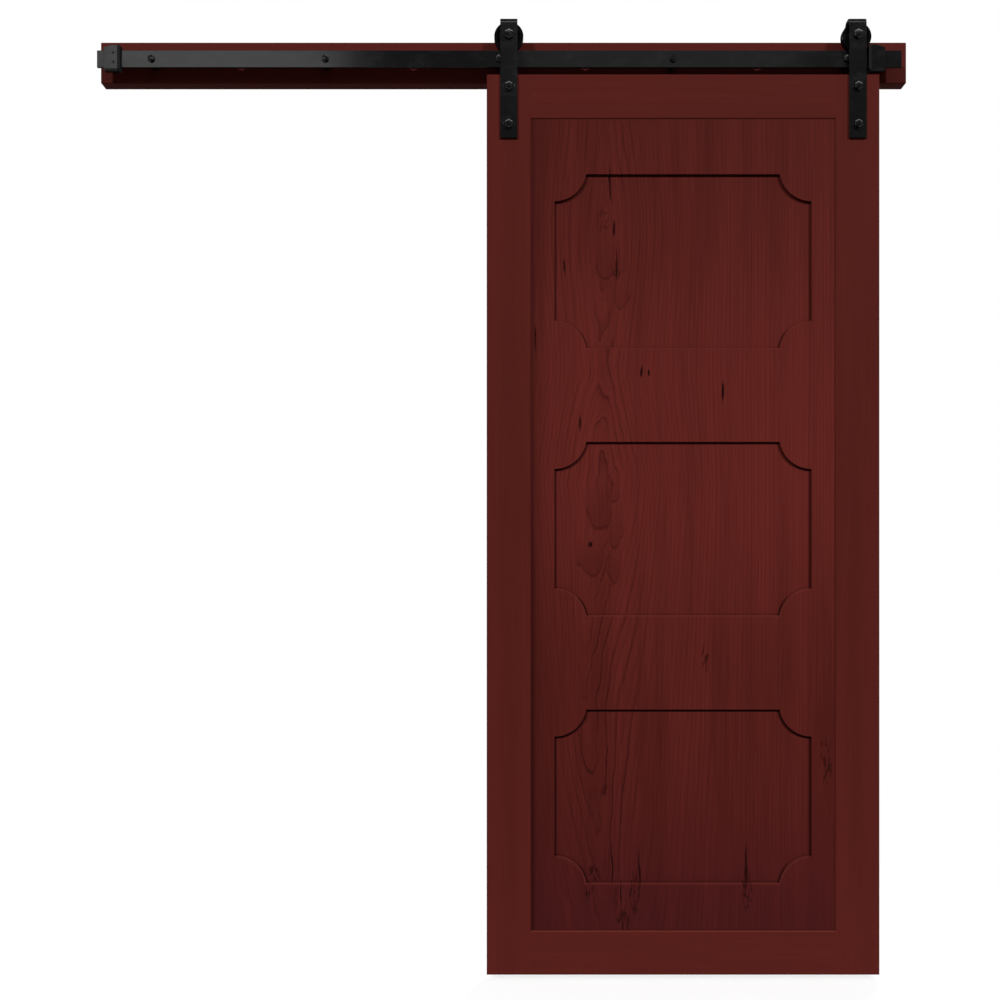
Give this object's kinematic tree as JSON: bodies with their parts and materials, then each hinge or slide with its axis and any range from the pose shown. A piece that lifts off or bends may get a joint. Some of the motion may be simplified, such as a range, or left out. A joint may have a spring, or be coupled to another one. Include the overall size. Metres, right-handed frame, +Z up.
{
  "type": "sliding barn door",
  "caption": "Framed wooden sliding door with a carved panel, hung by strap hangers with grooved wheels on a flat steel track that stands off a header board.",
  "frame": {"origin": "middle of the header board's wall face", "axes": "+X right along the track seen from the front, +Y back into the wall, +Z up"},
  "size_m": [1.905, 0.1005, 2.2273],
  "materials": {
    "stained_wood": "red-brown stain, satin",
    "black_steel": "black powder coat",
    "bearing_steel": "bright",
    "black_rubber": "matt",
    "bare_wood": "bare"
  },
  "bodies": {
    "frame": {"header_board": "stained_wood", "track_bar": "black_steel", "track_spacers": "black_steel", "track_lag_screws": "black_steel", "left_stop_block": "black_steel", "left_stop_bumper": "black_rubber", "left_stop_screws": "black_steel", "right_stop_block": "black_steel", "right_stop_bumper": "black_rubber", "right_stop_screws": "black_steel"},
    "door": {"left_stile": "stained_wood", "right_stile": "stained_wood", "top_rail": "stained_wood", "bottom_rail": "stained_wood", "door_panel": "stained_wood", "corner_dowels": "bare_wood", "left_hanger_strap": "black_steel", "left_hanger_bolts": "black_steel", "left_hanger_washers": "black_steel", "left_hanger_nuts": "black_steel", "left_axle_bolt": "black_steel", "left_axle_nut": "black_steel", "left_front_bush": "bearing_steel", "left_rear_bush": "bearing_steel", "left_bearing_inner_ring": "bearing_steel", "right_hanger_strap": "black_steel", "right_hanger_bolts": "black_steel", "right_hanger_washers": "black_steel", "right_hanger_nuts": "black_steel", "right_axle_bolt": "black_steel", "right_axle_nut": "black_steel", "right_front_bush": "bearing_steel", "right_rear_bush": "bearing_steel", "right_bearing_inner_ring": "bearing_steel"},
    "left_roller": {"left_wheel": "black_steel", "left_bearing_outer_ring": "bearing_steel", "left_bearing_clip": "bearing_steel"},
    "left_ball_set": {"left_bearing_balls": "bearing_steel"},
    "right_roller": {"right_wheel": "black_steel", "right_bearing_outer_ring": "bearing_steel", "right_bearing_clip": "bearing_steel"},
    "right_ball_set": {"right_bearing_balls": "bearing_steel"}
  },
  "joints": [
    {"name": "door_slide", "type": "slide", "parent": "frame", "child": "door", "axis": [1, 0, 0], "range_m": [-0.8788, 0]},
    {"name": "left_wheel_roll", "type": "hinge", "parent": "door", "child": "left_roller", "pos_m": [0.0122, -0.073, 0.0443], "axis": [0, 1, 0], "continuous": true},
    {"name": "left_ball_roll", "type": "hinge", "parent": "door", "child": "left_ball_set", "pos_m": [0.0122, -0.073, 0.0443], "axis": [0, 1, 0], "continuous": true},
    {"name": "right_wheel_roll", "type": "hinge", "parent": "door", "child": "right_roller", "pos_m": [0.8236, -0.073, 0.0443], "axis": [0, 1, 0], "continuous": true},
    {"name": "right_ball_roll", "type": "hinge", "parent": "door", "child": "right_ball_set", "pos_m": [0.8236, -0.073, 0.0443], "axis": [0, 1, 0], "continuous": true}
  ],
  "couplings": [
    {"joint": "left_wheel_roll", "follows": "door_slide", "rad_per_m": 33.333},
    {"joint": "left_ball_roll", "follows": "door_slide", "rad_per_m": 20.909},
    {"joint": "right_wheel_roll", "follows": "door_slide", "rad_per_m": 33.333},
    {"joint": "right_ball_roll", "follows": "door_slide", "rad_per_m": 20.909}
  ]
}
